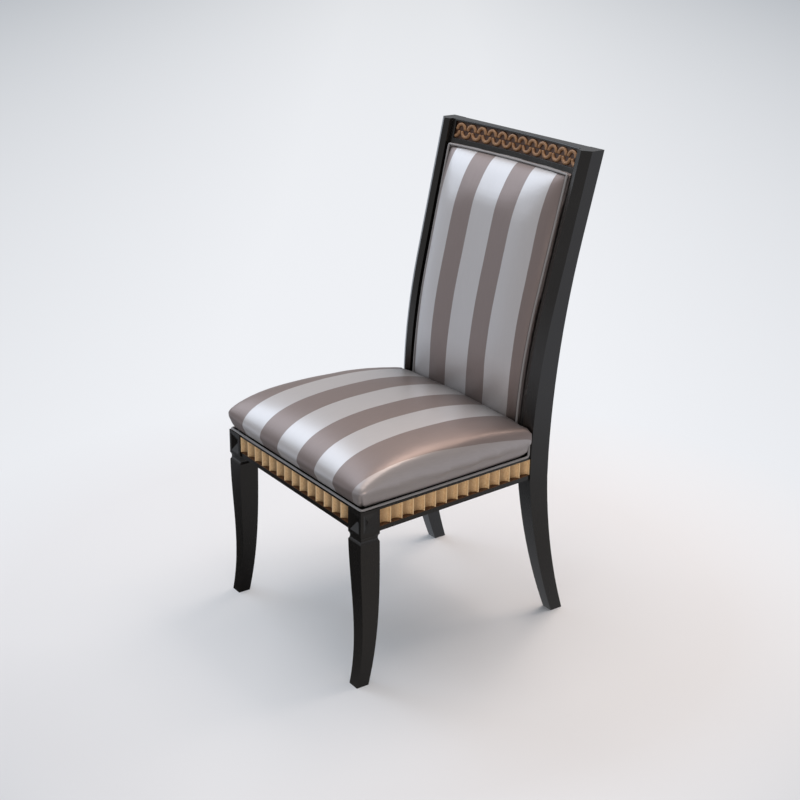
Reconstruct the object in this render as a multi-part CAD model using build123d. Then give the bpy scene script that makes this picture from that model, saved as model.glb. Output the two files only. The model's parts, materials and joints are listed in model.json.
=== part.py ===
from build123d import *
import math
import os

# A dining chair: black lacquered frame on sabre legs, gilt fluted strips on the seat rails,
# a carved gilt band on the crest rail, and a padded seat and back.
# Sizes are millimetres and degrees. x runs across the chair, y from front to back, z up.
# The pieces are drawn with y = 0 at the front of the leg blocks, and moved to the middle
# of the chair's own depth when they are written.

# Overall sizes
front_width = 524.0
rear_width = 468.0
seat_depth = 451.0
overall_height = 1033.0
rail_top = 392.0
back_lean = 13.2
post_splay = 1.25
back_radius = 1800.0

# Front legs
block_size = 45.0
block_height = 55.0
neck_height = 16.0
neck_depth = 2.7
foot_width = 28.0
foot_depth = 28.0
foot_inset = 4.0
toe_reach = 6.0
leg_hollow = 6.5
calf_fullness = 8.0
panel_margin = 7.0
panel_depth = 7.0
panel_floor = 2.0

# Rear posts
post_width = 41.0
post_depth = 49.0
post_top_depth = 31.5
bend_height = 328.0
rear_sweep = 82.0
rear_leg_bow = 12.0
rear_foot_width = 27.0
rear_foot_depth = 31.0
rear_foot_inset = 2.0
ridge_offset = 20.0
ridge_height = 12.0
inner_bevel_width = 14.5
inner_bevel_drop = 5.3
rebate_floor = 1.5

# Seat rails and their gilt strips
rail_height = 51.0
rail_thickness = 28.0
rail_setback = 3.0
rear_rail_thickness = 25.0
strip_depth = 15.0
upper_fillet = 5.0
lower_fillet = 9.0
flute_count = 14
flute_sink = 11.0
arris_width = 1.0
strip_floor = 1.5

# Crest rail and its carving
crest_height = 72.0
crest_thickness = 20.0
crest_setback = 2.0
crest_show = 48.0
carving_height = 38.0
carving_top = 4.5
carving_margin = 5.0
carving_depth = 7.0
ground_thickness = 2.5
horseshoe_count = 12
horseshoe_relief = 4.0
ornament_height = 36.0
ribbon_width = 8.3
horseshoe_gap = 0.9
leg_gap = 0.25

# Back panel, lower back rail and upholstery of the back
panel_thickness = 8.0
bed_setback = 6.0
lower_rail_rise = 20.0
lower_rail_height = 50.0
lower_rail_thickness = 16.0
back_edge_thickness = 8.0
back_crown = 48.0
back_pad_rise = 34.0
cover_thickness = 1.8
back_piping_diameter = 5.0
outside_board_thickness = 3.0
outside_board_drop = 30.0

# Seat board, foam, cover and piping
seat_board_thickness = 12.0
seat_rear_gap = 14.0
seat_band_height = 6.5
seat_band_inset = 6.0
seat_piping_diameter = 5.0
seat_corner_radius = 22.0
seat_crown = 108.0
tongue_margin = 5.0

# Joints and fastenings
dowel_diameter = 8.0
back_dowel_diameter = 6.0
dowel_length = 38.0
dowel_end_gap = 1.0
dowel_pitch = 24.0
dowel_stagger = 12.0
corner_block_length = 62.0
corner_block_height = 28.0
screw_diameter = 4.5
screw_head_diameter = 9.0
screw_length = 25.0
screw_bite = 10.0
seat_screw_length = 36.0
screw_head_depth = 3.0

# Clearances
glue_gap = 0.1
seat_gap = 0.2
soft_gap = 0.3
cloth_gap = 0.5

# Values worked out from the sizes above
lean = math.radians(back_lean)
splay = math.radians(post_splay)
rail_bottom = rail_top - rail_height
block_bottom = rail_top - block_height
leg_top = block_bottom - neck_height
rear_leg_top = min(rail_bottom, block_bottom)
half_front = front_width / 2
half_rear = rear_width / 2
block_inner = half_front - block_size
post_inner = half_rear - post_width
face_radius = bend_height / math.sin(lean)
face_arc = face_radius * lean
taper_radius = (post_depth * math.cos(lean) - post_top_depth) / (1 - math.cos(lean))
rear_radius = face_radius + taper_radius
ridge_rise = rail_top + (face_radius + ridge_height) * math.sin(lean)
straight_length = (overall_height - ridge_rise) / math.cos(lean)
face_length = face_arc + straight_length
bend_centre = seat_depth + face_radius
strip_low = rail_bottom + lower_fillet
strip_high = rail_top - upper_fillet


def inner_face(height):
    """Half distance between the posts' inner faces at a height above the seat rails."""
    return half_rear - post_width + height * math.tan(splay)


back_sag = back_radius - math.sqrt(back_radius**2 - inner_face(overall_height - rail_top) ** 2)
crest_front = crest_setback + back_sag
crest_top = face_length + (crest_front + ridge_height) * math.tan(lean)
bed = bed_setback + back_sag


def back_point(behind, along):
    """Point (y, z) a distance behind the posts' front line, at a length along that line."""
    angle = min(along, face_arc) / face_radius
    radius = face_radius - behind
    extra = max(along - face_arc, 0.0)
    y = bend_centre - radius * math.cos(angle) + extra * math.sin(lean)
    z = rail_top + radius * math.sin(angle) + extra * math.cos(lean)
    return (y, z)


axis_y = back_point(crest_front, face_length)[0] - back_radius
turning_axis = Axis((0, axis_y, 0), (0, 0, 1))
top_y = back_point(0, face_length)[0]
level_y = top_y + ridge_height * math.tan(lean) * math.sin(lean)
rear_reach = level_y + max(post_top_depth, crest_front + crest_thickness) / math.cos(lean)
outside_front = max(crest_front + crest_thickness, bed + panel_thickness + lower_rail_thickness)
outside_rear = outside_front + outside_board_thickness
rear_reach = max(rear_reach, back_point(outside_rear, face_length - outside_board_drop)[0])
centre_y = (rear_reach - toe_reach) / 2


def slab_x(outline, low, high):
    """Outline drawn in (y, z), thickened from x = low to x = high."""
    return extrude(Plane.YZ.offset(low) * make_face(outline), high - low)


def slab_y(outline, low, high):
    """Outline drawn in (x, z), thickened from y = low to y = high."""
    return extrude(Plane.XZ.offset(-low) * make_face(outline), low - high)


def slab_z(outline, low, high):
    """Outline drawn in (x, y), thickened from z = low to z = high."""
    return extrude(Plane.XY.offset(low) * make_face(outline), high - low)


def polygon(*points):
    return Polyline(*points, close=True)


def rod(start, end, diameter):
    """Round rod between two points."""
    axis = Vector(*end) - Vector(*start)
    return Plane(origin=start, z_dir=axis) * Cylinder(
        diameter / 2, axis.length, align=(Align.CENTER, Align.CENTER, Align.MIN)
    )


def mirrored(shape):
    return mirror(shape, about=Plane.YZ)


def write(node, *solids):
    """Writes one node, moved so that the chair stands over the middle of its depth."""
    moved = [Pos(0, -centre_y, 0) * solid for solid in solids]
    shape = moved[0] if len(moved) == 1 else Compound(children=moved)
    export_step(shape, f"parts/{node}.step")


# Dowels of each joint: a start point at the joint's plane and the direction of the rod
web = rail_thickness - (rail_thickness - strip_depth) / 2
low_dowel = rail_top - rail_height / 2 - dowel_pitch / 2 - dowel_stagger / 4
high_dowel = low_dowel + dowel_pitch


def side_face(y):
    """x of the side rail's outer face at a depth y."""
    share = (y - block_size) / (seat_depth - block_size)
    return half_front - rail_setback + (half_rear - half_front) * share


def pair_across(x, y, heights):
    return [((x, y, z), (1, 0, 0)) for z in heights]


def pair_along(x, y, heights):
    return [((x, y, z), (0, 1, 0)) for z in heights]


staggered = (low_dowel + dowel_stagger, high_dowel + dowel_stagger)
front_dowels = pair_across(block_inner, rail_setback + web, (low_dowel, high_dowel))
side_front_dowels = pair_along(side_face(block_size) - web, block_size, staggered)
side_rear_dowels = pair_along(side_face(seat_depth) - web, seat_depth, (low_dowel, high_dowel))
rear_rail_front = seat_depth + post_depth - rail_setback - rear_rail_thickness
rear_dowel_y = rear_rail_front + rear_rail_thickness / 2
rear_dowels = pair_across(post_inner, rear_dowel_y, (low_dowel, high_dowel))


def back_dowels(behind, places):
    """Dowels from a back rail into the posts, at lengths along the posts."""
    found = []
    for along in places:
        y, z = back_point(behind, along)
        found.append(((inner_face(z - rail_top), y, z), (1, 0, 0)))
    return found


crest_dowel_behind = crest_setback + crest_thickness / 2 + carving_depth / 2
crest_middle = face_length - crest_show / 2
crest_dowels = back_dowels(
    crest_dowel_behind,
    (crest_middle - dowel_pitch / 2, crest_middle + dowel_pitch / 2),
)
lower_rail_behind = bed_setback + panel_thickness + lower_rail_thickness / 2
lower_rail_middle = lower_rail_rise + lower_rail_height / 2
lower_dowels = back_dowels(
    lower_rail_behind,
    (lower_rail_middle - dowel_pitch / 2, lower_rail_middle + dowel_pitch / 2),
)


def dowel(place, length, diameter):
    """Rod centred on the plane of its joint."""
    start, direction = place
    half = Vector(*direction) * (length / 2)
    middle = Vector(*start)
    return rod(tuple(middle - half), tuple(middle + half), diameter)


def drilled(shape, *joints, diameter=dowel_diameter):
    """Shape with the holes for the dowels of some joints."""
    for joint in joints:
        for place in joint:
            shape = shape - dowel(place, dowel_length + 2 * dowel_end_gap, diameter + 2 * glue_gap)
    return shape


def write_dowels(node, joint, diameter=dowel_diameter):
    pegs = [dowel(place, dowel_length, diameter) for place in joint]
    write(node, *pegs, *[mirrored(peg) for peg in pegs])


def sunk_pyramid():
    """Hollow pyramid of a block's face, standing on z = 0 and reaching down to its floor."""
    width = block_size - 2 * panel_margin
    height = block_height - 2 * panel_margin
    mouth = Rectangle(width, height)
    floor = Pos(0, 0, -panel_depth) * Rectangle(panel_floor, panel_floor * height / width)
    return loft([mouth.face(), floor.face()], ruled=True)


def front_leg():
    """Right front leg: block with sunk panels, cove neck and sabre leg."""
    middle_x = half_front - block_size / 2
    middle_y = block_size / 2
    block = Pos(middle_x, middle_y, rail_top - block_height / 2) * Box(block_size, block_size, block_height)
    panel_z = rail_top - block_height / 2
    carving = sunk_pyramid()
    front_plane = Plane(origin=(middle_x, 0, panel_z), x_dir=(1, 0, 0), z_dir=(0, -1, 0))
    side_plane = Plane(origin=(half_front, middle_y, panel_z), x_dir=(0, 1, 0), z_dir=(1, 0, 0))
    block = block - front_plane * carving - side_plane * carving

    neck = Pos(middle_x, middle_y, block_bottom - neck_height / 2) * Box(block_size, block_size, neck_height)
    cove_radius = (neck_height**2 / 4 + neck_depth**2) / (2 * neck_depth)
    cove_centre = block_size / 2 + cove_radius - neck_depth
    for turn in range(4):
        cove = Pos(cove_centre, 0, 0) * Rot(90, 0, 0) * Cylinder(cove_radius, 2 * block_size)
        neck = neck - Pos(middle_x, middle_y, block_bottom - neck_height / 2) * Rot(0, 0, 90 * turn) * cove

    side = [
        Spline((0, leg_top), (leg_hollow / 4, leg_top * 0.78), (leg_hollow, leg_top * 0.39), (-toe_reach, 0)),
        Line((-toe_reach, 0), (foot_depth - toe_reach, 0)),
        Spline(
            (foot_depth - toe_reach, 0),
            (foot_depth - toe_reach + 2.2 * calf_fullness, leg_top * 0.31),
            (block_size + calf_fullness / 8, leg_top * 0.66),
            (block_size, leg_top),
        ),
        Line((block_size, leg_top), (0, leg_top)),
    ]
    foot_outer = half_front - foot_inset
    front = [
        Line((half_front, leg_top), (foot_outer, 0)),
        Line((foot_outer, 0), (foot_outer - foot_width, 0)),
        SagittaArc((foot_outer - foot_width, 0), (block_inner, leg_top), -foot_inset / 2),
        Line((block_inner, leg_top), (half_front, leg_top)),
    ]
    broad = slab_x(side, block_inner - block_size, half_front + block_size)
    leg = broad & slab_y(front, -block_size, 2 * block_size)
    return drilled(block + neck + leg, front_dowels, side_front_dowels)


def levelled(solid):
    """The solid cut off level at the overall height."""
    room = Pos(0, seat_depth, 0) * Box(
        2 * front_width, 2 * overall_height, overall_height, align=(Align.CENTER, Align.CENTER, Align.MIN)
    )
    return solid & room


def stile():
    """Upper part of the right post: a ridged section carried up the bend and the straight lean."""
    inner_bevel_end = ridge_offset + inner_bevel_width
    level_width = post_width * math.cos(splay)
    section = make_face(
        polygon(
            (half_rear, seat_depth),
            (half_rear - ridge_offset, seat_depth - ridge_height),
            (half_rear - inner_bevel_end, seat_depth - ridge_height + inner_bevel_drop),
            (half_rear - inner_bevel_end, seat_depth + rebate_floor),
            (half_rear - level_width, seat_depth + rebate_floor),
            (half_rear - level_width, seat_depth + 2 * post_depth),
            (half_rear, seat_depth + 2 * post_depth),
        )
    )
    section = Pos(0, 0, rail_top) * section
    bend_axis = Axis((0, bend_centre, rail_top), (-1, 0, 0))
    bend = revolve(section, bend_axis, back_lean)
    upright = (0, math.sin(lean), math.cos(lean))
    straight = extrude(section.rotate(bend_axis, back_lean), straight_length + post_depth, dir=upright)
    root = extrude(section, post_width, dir=(0, 0, -1))

    rear = seat_depth + post_depth
    bend_end = (rear + rear_radius * (1 - math.cos(lean)), rail_top + rear_radius * math.sin(lean))
    bend_half = (rear + rear_radius * (1 - math.cos(lean / 2)), rail_top + rear_radius * math.sin(lean / 2))
    over = 2 * overall_height
    over_end = (bend_end[0] + over * math.sin(lean), bend_end[1] + over * math.cos(lean))
    keep = [
        Line((0, rail_bottom), (rear, rail_bottom)),
        Line((rear, rail_bottom), (rear, rail_top)),
        ThreePointArc((rear, rail_top), bend_half, bend_end),
        Line(bend_end, over_end),
        Line(over_end, (0, over_end[1])),
        Line((0, over_end[1]), (0, rail_bottom)),
    ]
    blank = (root + bend + straight) & slab_x(keep, half_rear - 2 * post_width, half_rear + post_width)
    blank = blank.rotate(Axis((half_rear, 0, rail_top), (0, 1, 0)), post_splay)
    above = Pos(half_rear, seat_depth, rail_top) * Box(
        overall_height, overall_height, overall_height, align=(Align.CENTER, Align.CENTER, Align.MIN)
    )
    return levelled(blank & above)


def rear_post():
    """Right rear post: sabre leg, plain joint block and stile in one piece."""
    rear = seat_depth + post_depth
    toe = seat_depth + rear_sweep
    side = [
        Line((seat_depth, rail_top), (seat_depth, rear_leg_top)),
        SagittaArc((seat_depth, rear_leg_top), (toe, 0), -rear_leg_bow),
        Line((toe, 0), (toe + rear_foot_depth, 0)),
        SagittaArc((toe + rear_foot_depth, 0), (rear, rear_leg_top), rear_leg_bow),
        Line((rear, rear_leg_top), (rear, rail_top)),
        Line((rear, rail_top), (seat_depth, rail_top)),
    ]
    foot_outer = half_rear - rear_foot_inset
    front = polygon(
        (half_rear, rail_top),
        (half_rear, rear_leg_top),
        (foot_outer, 0),
        (foot_outer - rear_foot_width, 0),
        (post_inner, rear_leg_top),
        (post_inner, rail_top),
    )
    reach = (seat_depth - post_depth, toe + 2 * rear_foot_depth)
    leg = slab_x(side, post_inner - post_width, half_rear + post_width) & slab_y(front, *reach)
    post = drilled(leg + stile(), side_rear_dowels, rear_dowels)
    return drilled(post, crest_dowels, lower_dowels, diameter=back_dowel_diameter)


def fluted_strip(start, end, inward, gap):
    """Gilt strip from start to end in plan, with upright hollows on its outer side."""
    start = Vector(*start)
    run = Vector(*end) - start
    inward = Vector(*inward).normalized()
    cut = run.normalized() * gap
    first = start + cut
    step = (run - cut * 2) / flute_count
    land = run.normalized() * (arris_width / 2)
    outline = []
    for index in range(flute_count):
        left = first + step * index
        right = left + step
        hollow = (left + right) / 2 + inward * flute_sink
        outline.append(Line(left, left + land))
        outline.append(ThreePointArc(left + land, hollow, right - land))
        outline.append(Line(right - land, right))
    last = first + step * flute_count
    depth = inward * (strip_depth - gap)
    back_start = first + depth
    back_end = last + depth
    back = [Line(last, back_end), Line(back_end, back_start), Line(back_start, first)]
    floor = [Line(first, last)] + back
    body = slab_z(outline + back, strip_low + strip_floor, strip_high - gap)
    return body + slab_z(floor, strip_low + gap, strip_low + strip_floor)


def front_rail():
    length = 2 * block_inner
    rail = Pos(0, rail_setback + rail_thickness / 2, rail_top - rail_height / 2) * Box(
        length, rail_thickness, rail_height
    )
    channel = Pos(0, rail_setback + strip_depth / 2, (strip_low + strip_high) / 2) * Box(
        length, strip_depth, strip_high - strip_low
    )
    return rail - channel


rail_run = Vector(side_face(seat_depth) - side_face(block_size), seat_depth - block_size, 0)
rail_inward = Vector(-rail_run.Y, rail_run.X, 0).normalized()
slant = rail_run.length / rail_run.Y


def rail_plan(depth):
    """Plan of the right side rail from its outer face to a depth square to that face."""
    return polygon(
        (side_face(block_size), block_size),
        (side_face(seat_depth), seat_depth),
        (side_face(seat_depth) - depth * slant, seat_depth),
        (side_face(block_size) - depth * slant, block_size),
    )


def side_rail():
    rail = slab_z(rail_plan(rail_thickness), rail_bottom, rail_top)
    return rail - slab_z(rail_plan(strip_depth), strip_low, strip_high)


def rear_rail():
    return Pos(0, rear_rail_front + rear_rail_thickness / 2, rail_top - rail_height / 2) * Box(
        2 * post_inner, rear_rail_thickness, rail_height
    )


def side_strip():
    """Fluted strip of the right rail, trimmed square where it meets the block and the post."""
    start = (side_face(block_size), block_size, 0)
    end = (side_face(seat_depth), seat_depth, 0)
    strip = fluted_strip(start, end, rail_inward, seat_gap)
    between = slab_z(
        polygon(
            (0, block_size + seat_gap),
            (front_width, block_size + seat_gap),
            (front_width, seat_depth - seat_gap),
            (0, seat_depth - seat_gap),
        ),
        rail_bottom,
        rail_top,
    )
    return strip & between


def back_outline(front, rear, low, high):
    """Edges of a strip of the back in (y, z): behind the front line by front to rear."""
    edges = []
    bend_top = min(high, face_arc)
    straight_low = max(low, face_arc)
    for behind, rising in ((front, True), (rear, False)):
        curve = []
        if low < face_arc:
            middle = back_point(behind, (low + bend_top) / 2)
            curve.append(ThreePointArc(back_point(behind, low), middle, back_point(behind, bend_top)))
        if high > face_arc:
            curve.append(Line(back_point(behind, straight_low), back_point(behind, high)))
        edges += curve if rising else curve[::-1]
        if rising:
            edges.append(Line(back_point(front, high), back_point(rear, high)))
    edges.append(Line(back_point(rear, low), back_point(front, low)))
    return edges


def turned(outline, half_angle):
    """Strip of the back carried round the upright axis in front of the chair."""
    face = (Plane.YZ * make_face(outline)).rotate(turning_axis, -half_angle)
    return revolve(face, turning_axis, 2 * half_angle)


def between_posts(gap):
    """Room between the inner faces of the two posts."""
    low = inner_face(0) - gap
    high = inner_face(overall_height) - gap
    top = rail_top + overall_height
    room = polygon((-low, rail_top), (low, rail_top), (high, top), (-high, top))
    return slab_y(room, 0, 2 * overall_height)


wide_angle = math.degrees(math.asin(inner_face(overall_height - rail_top) / back_radius)) + 1
carving_half = inner_face(overall_height - rail_top) - carving_margin
carving_angle = math.degrees(math.asin(carving_half / back_radius))
pad_top = face_length - crest_show
pad_half = inner_face(overall_height - rail_top) - 2 * cloth_gap
pad_angle = math.degrees(math.asin(pad_half / back_radius)) - 0.1
panel_high = pad_top - cloth_gap
panel_low = lower_rail_rise


def crest_rail():
    low = face_length - crest_height
    over = crest_top + crest_thickness
    rail = turned(back_outline(crest_front, crest_front + crest_thickness, low, over), wide_angle)
    rail = levelled(rail)
    seat = bed + panel_thickness
    rail = rail - turned(back_outline(crest_front - 1, seat, low - 1, pad_top), wide_angle)
    high = crest_top - carving_top
    sunk = back_outline(crest_front - 1, crest_front + carving_depth, high - carving_height, high)
    rail = rail - turned(sunk, carving_angle)
    joints = (crest_dowels, mirrored_places(crest_dowels))
    return drilled(rail & between_posts(0), *joints, diameter=back_dowel_diameter)


def mirrored_places(joint):
    return [((-start[0], start[1], start[2]), direction) for start, direction in joint]


def crest_ground():
    high = crest_top - carving_top - seat_gap
    low = crest_top - carving_top - carving_height + seat_gap
    rear = crest_front + carving_depth
    gap_angle = math.degrees(seat_gap / back_radius)
    return turned(back_outline(rear - ground_thickness, rear, low, high), carving_angle - gap_angle)


def horseshoe(legs):
    """Arch with legs on the chosen sides, on the plane z = 0, open downwards."""
    outer = (2 * carving_half / horseshoe_count - horseshoe_gap) / 2
    inner = outer - ribbon_width
    rise = ornament_height / 2 - horseshoe_gap - outer
    shape = Pos(0, rise) * (Circle(outer) - Circle(inner))
    shape = shape - Pos(0, rise - outer) * Rectangle(4 * outer, 2 * outer)
    for side in legs:
        leg_height = rise - leg_gap
        shape += Pos(side * (outer + inner) / 2, rise - leg_height / 2) * Rectangle(ribbon_width, leg_height)
    if len(legs) == 1:
        shape = shape - Pos(-legs[0] * (2 * outer - horseshoe_gap), 0) * Rectangle(4 * outer, 8 * outer)
    return extrude(shape, horseshoe_relief)


def crest_carving():
    """Two facing rows of horseshoes, the lower row half a step along, set round the curve."""
    behind = crest_front + carving_depth - ground_thickness
    y, z = back_point(behind, crest_top - carving_top - carving_height / 2)
    radius = y - axis_y
    plane = Plane(origin=(0, y, z), x_dir=(1, 0, 0), z_dir=(0, -math.cos(lean), math.sin(lean)))
    plane = plane.offset(glue_gap)
    step = 2 * carving_half / horseshoe_count
    pieces = []
    for index in range(horseshoe_count):
        along = (index + 0.5) * step - carving_half
        pieces.append((along, horseshoe((-1, 1))))
    for index in range(horseshoe_count + 1):
        along = index * step - carving_half
        ends = {0: (1,), horseshoe_count: (-1,)}
        legs = ends.get(index, (-1, 1))
        upturned = Rot(0, 0, 180) * horseshoe(tuple(-side for side in legs))
        pieces.append((along, upturned))
    placed = []
    for along, piece in pieces:
        angle = math.degrees(math.asin(along / radius))
        placed.append((plane * piece).rotate(turning_axis, -angle))
    return placed


def lower_back_rail():
    front = bed + panel_thickness
    high = lower_rail_rise + lower_rail_height
    rail = turned(back_outline(front, front + lower_rail_thickness, lower_rail_rise, high), wide_angle)
    joints = (lower_dowels, mirrored_places(lower_dowels))
    return drilled(rail & between_posts(0), *joints, diameter=back_dowel_diameter)


def back_panel():
    sheet = turned(back_outline(bed, bed + panel_thickness, panel_low, panel_high), pad_angle)
    return sheet & between_posts(cloth_gap)


def outside_back():
    """Covered board on the rear faces of the crest and the lower rail."""
    low = lower_rail_rise
    high = face_length - outside_board_drop
    sheet = turned(back_outline(outside_front, outside_rear, low, high), pad_angle)
    return sheet & between_posts(cloth_gap)


def pad_section(share, skin, low, high, ledge, open_back):
    """Outline of the back pad at a share of its half width, from -1 to 1, in (y, z)."""
    across = min(abs(share) / (1 - ledge / inner_face(0)), 1.0)
    fullness = (back_crown - back_edge_thickness) * math.sqrt(1 - across**4)
    rear = bed - soft_gap
    brow = high - ledge
    span = brow - low
    steps = [(0.0, 0.0), (0.008, 0.30), (0.023, 0.475), (0.055, 0.70), (0.09, 0.83), (0.15, 0.90), (0.3, 1.0)]
    steps += [(0.5, 0.98), (0.65, 0.93), (0.78, 0.86), (0.87, 0.76), (0.905, 0.52), (1.0, 0.50)]
    front = [back_point(rear - back_edge_thickness - skin, high)]
    for drop, share_of_crown in steps:
        thickness = back_edge_thickness + fullness * share_of_crown + skin
        front.append(back_point(rear - thickness, brow - drop * span))
    front = front[::-1]
    base = rear + open_back
    split = back_point(base, face_arc)
    middle = back_point(base, (low + face_arc) / 2)
    edges = [
        Polyline(*front),
        Line(front[-1], back_point(base, high)),
        Line(back_point(base, high), split),
        ThreePointArc(split, middle, back_point(base, low)),
        Line(back_point(base, low), front[0]),
    ]
    return make_face(edges)


def back_pad(skin, half_angle, low, high, ledge, open_back=0.0):
    """Crowned pad through upright sections set round the curve of the back."""
    sections = []
    half = [1.0, 1 - ledge / inner_face(0), 0.95, 0.88, 0.74, 0.56, 0.38, 0.19]
    for share in [-one for one in half] + [0.0] + half[::-1]:
        face = Plane.YZ * pad_section(share, skin, low, high, ledge, open_back)
        sections.append(face.rotate(turning_axis, -share * half_angle).face())
    return loft(sections, ruled=True)


def tube_along(points_edges, diameter):
    """Round cord along edges that join smoothly."""
    wire = Wire(points_edges)
    start = wire @ 0
    heading = wire % 0
    return sweep(Plane(origin=start, z_dir=heading) * Circle(diameter / 2), wire)


def back_piping():
    """Cord up both sides of the inside back and across its top, with round corners."""
    radius = back_piping_diameter / 2
    behind = bed - back_edge_thickness - cover_thickness - radius - 2 * soft_gap
    low = back_pad_rise + back_piping_diameter
    high = pad_top - radius
    angle = pad_angle - math.degrees(radius / back_radius)
    y, z = back_point(behind, high)
    ring = Plane.YZ * (Pos(y, z) * Circle(radius))
    pieces = [revolve(ring.rotate(turning_axis, -angle), turning_axis, 2 * angle)]
    bend = ThreePointArc(
        back_point(behind, low), back_point(behind, (low + face_arc) / 2), back_point(behind, face_arc)
    )
    rise = Line(back_point(behind, face_arc), back_point(behind, high))
    upright = tube_along([Plane.YZ * bend, Plane.YZ * rise], back_piping_diameter)
    for side in (-angle, angle):
        pieces.append(upright.rotate(turning_axis, side))
        pieces.append((Pos(0, y, z) * Sphere(radius + soft_gap)).rotate(turning_axis, side))
    return pieces[0].fuse(*pieces[1:])


seat_rear = seat_depth - seat_rear_gap


def seat_outline(side, front, rear):
    """Plan of the seat, drawn in at the sides, the front and the rear, with rounded corners."""
    half_wide = half_front - side
    half_narrow = half_rear - side
    low = front
    high = seat_rear - rear
    corners = [(-half_wide, low), (half_wide, low), (half_narrow, high), (-half_narrow, high)]
    outline = make_face(polygon(*corners))
    radius = seat_corner_radius + 0.4 * max(side, 0.0)
    return fillet(outline.vertices(), min(radius, 0.4 * half_narrow, 0.3 * (high - low)))


def seat_body(skin, base):
    """Crowned seat through level slices: full sides, rolled edges and a low dome."""
    slices = [
        (0.0, 0.013, 0.007, 0.007),
        (0.11, 0.001, 0.0, 0.0),
        (0.21, 0.0, 0.0, 0.0),
        (0.33, 0.008, 0.007, 0.002),
        (0.45, 0.026, 0.029, 0.005),
        (0.59, 0.060, 0.069, 0.009),
        (0.72, 0.120, 0.126, 0.018),
        (0.82, 0.197, 0.192, 0.080),
        (0.90, 0.385, 0.309, 0.183),
        (0.96, 0.640, 0.458, 0.297),
        (1.0, 0.810, 0.549, 0.378),
    ]
    rise = seat_crown - seat_band_height - 2 * skin
    sections = []
    for share, side, front, rear in slices:
        height = rail_top + seat_band_height + skin + share * rise
        outline = seat_outline(side * half_rear + skin, front * seat_rear + skin, rear * seat_rear + skin)
        sections.append((Pos(0, 0, height) * outline).face())
    body = loft(sections, ruled=True)
    inset = seat_band_inset + skin
    band = seat_outline(inset, inset, inset)
    return body + extrude(Pos(0, 0, rail_top + base) * band, seat_band_height + skin - base)


def seat_board():
    """Plywood seat with a tongue between the posts that rests on the rear rail."""
    inset = seat_band_inset + cover_thickness + cloth_gap
    plate = extrude(Pos(0, 0, rail_top) * seat_outline(inset, inset, inset), seat_board_thickness)
    tongue_end = rear_rail_front + rear_rail_thickness - rail_setback
    return plate + tongue(0, tongue_end, seat_board_thickness)


def tongue(gap, end, height):
    width = 2 * (post_inner - tongue_margin + gap)
    start = seat_rear - seat_corner_radius - 2 * seat_band_inset
    return Pos(0, (start + end) / 2, rail_top + height / 2) * Box(width, end - start, height)


def seat_cover():
    shell = seat_body(0, 0) - seat_body(cover_thickness, -1)
    return shell - tongue(cloth_gap, seat_depth, seat_board_thickness + cloth_gap)


def seat_foam():
    body = seat_body(cover_thickness + soft_gap, 0)
    clear = rail_top + seat_board_thickness
    hanging = (Align.CENTER, Align.CENTER, Align.MAX)
    below = Pos(0, seat_depth / 2, clear) * Box(
        2 * front_width, 2 * seat_depth, 4 * seat_board_thickness, align=hanging
    )
    return body - below


def seat_piping():
    """Cord along the lower edge of the seat, from one rear post round the front to the other."""
    radius = seat_piping_diameter / 2
    inset = seat_band_inset - radius - soft_gap
    height = rail_top + radius + glue_gap
    front = half_front - inset
    rear = half_rear - inset
    end_y = seat_rear - seat_corner_radius
    share = end_y / seat_rear
    end_x = front + (rear - front) * share
    path = FilletPolyline(
        (-end_x, end_y, height),
        (-front, inset, height),
        (front, inset, height),
        (end_x, end_y, height),
        radius=seat_corner_radius,
    )
    return tube_along(path.edges(), seat_piping_diameter)


def front_corner_block():
    """Right front block, notched round the leg's inner corner."""
    rail_back = rail_setback + rail_thickness
    inner_at = side_face(block_size) - rail_thickness * slant
    end_y = block_size + corner_block_length
    end_inner = side_face(end_y) - rail_thickness * slant
    plan = polygon(
        (block_inner - corner_block_length, rail_back + glue_gap),
        (block_inner - glue_gap, rail_back + glue_gap),
        (block_inner - glue_gap, block_size + glue_gap),
        (inner_at - glue_gap, block_size + glue_gap),
        (end_inner - glue_gap, end_y),
    )
    return slab_z(plan, rail_top - corner_block_height, rail_top)


def rear_corner_block():
    """Right rear block, notched round the post's inner corner."""
    start_y = seat_depth - corner_block_length
    plan = polygon(
        (side_face(start_y) - rail_thickness * slant - glue_gap, start_y),
        (side_face(seat_depth) - rail_thickness * slant - glue_gap, seat_depth - glue_gap),
        (post_inner - glue_gap, seat_depth - glue_gap),
        (post_inner - glue_gap, rear_rail_front - glue_gap),
        (post_inner - corner_block_length, rear_rail_front - glue_gap),
    )
    return slab_z(plan, rail_top - corner_block_height, rail_top)


def screw(start, direction, length, clearance=0.0, pocket=0.0):
    """Countersunk screw: its head lies at start and its shank runs along direction."""
    plane = Plane(origin=start, z_dir=direction)
    shank_radius = screw_diameter / 2 + clearance
    head_radius = screw_head_diameter / 2 + clearance
    base = (Align.CENTER, Align.CENTER, Align.MIN)
    shape = Cylinder(shank_radius, length + clearance, align=base)
    shape = shape + Cone(head_radius, shank_radius, screw_head_depth, align=base)
    if pocket > 0:
        shape = shape + Cylinder(head_radius, pocket, align=(Align.CENTER, Align.CENTER, Align.MAX))
    return plane * shape


screw_height = rail_top - corner_block_height / 2


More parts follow.
